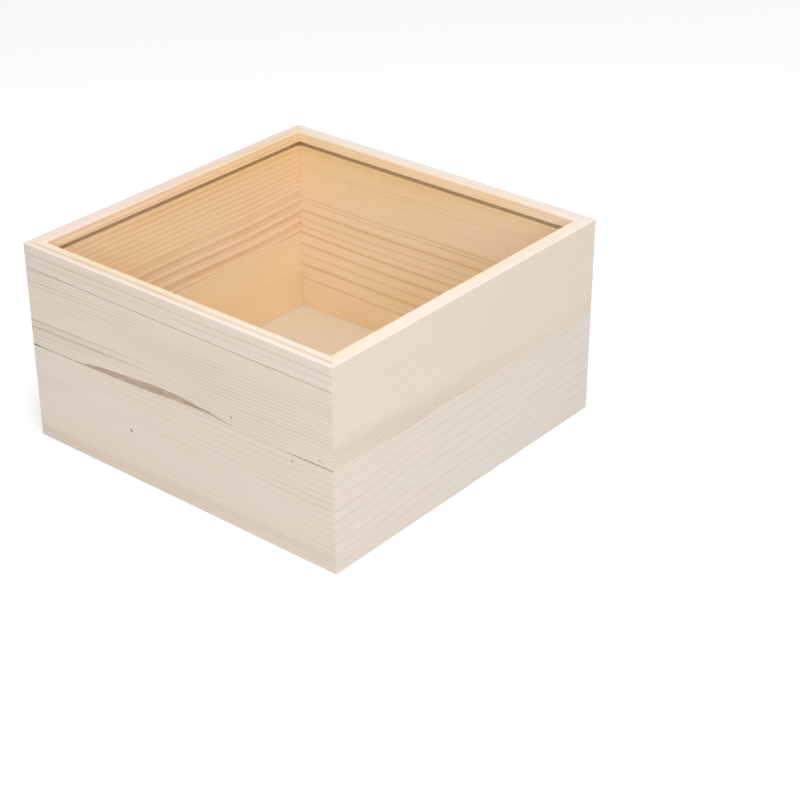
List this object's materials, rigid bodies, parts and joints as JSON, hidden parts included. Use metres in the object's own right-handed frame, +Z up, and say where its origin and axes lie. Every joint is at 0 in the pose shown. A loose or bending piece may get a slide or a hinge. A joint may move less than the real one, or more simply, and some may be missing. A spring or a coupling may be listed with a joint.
{
  "type": "wooden box with sliding clear lid",
  "caption": "Square mitred pine box with a low front wall, closed by a clear panel on a pine rail that slides out to the front in grooves.",
  "frame": {"origin": "centre of the underside, on the surface that the box stands on", "axes": "+Z up; -Y towards the low front wall, the way the lid slides out; +X to the right seen from the front"},
  "size_m": [0.2, 0.2, 0.108],
  "materials": {
    "pine_front": "bare planed pine",
    "pine_side": "bare planed pine",
    "pine_back": "bare planed pine",
    "pine_rail": "bare planed pine",
    "plywood": "bare sanded plywood",
    "acrylic": "clear polished acrylic"
  },
  "bodies": {
    "box": {"front_lower_board": "pine_front", "front_upper_board": "pine_front", "right_lower_board": "pine_side", "right_upper_board": "pine_side", "back_lower_board": "pine_back", "back_upper_board": "pine_back", "left_lower_board": "pine_side", "left_upper_board": "pine_side", "bottom_panel": "plywood"},
    "lid": {"lid_rail": "pine_rail", "lid_panel": "acrylic"}
  },
  "joints": [
    {"name": "lid_slide", "type": "slide", "parent": "box", "child": "lid", "axis": [0, -1, 0], "range_m": [0, 0.2]}
  ]
}
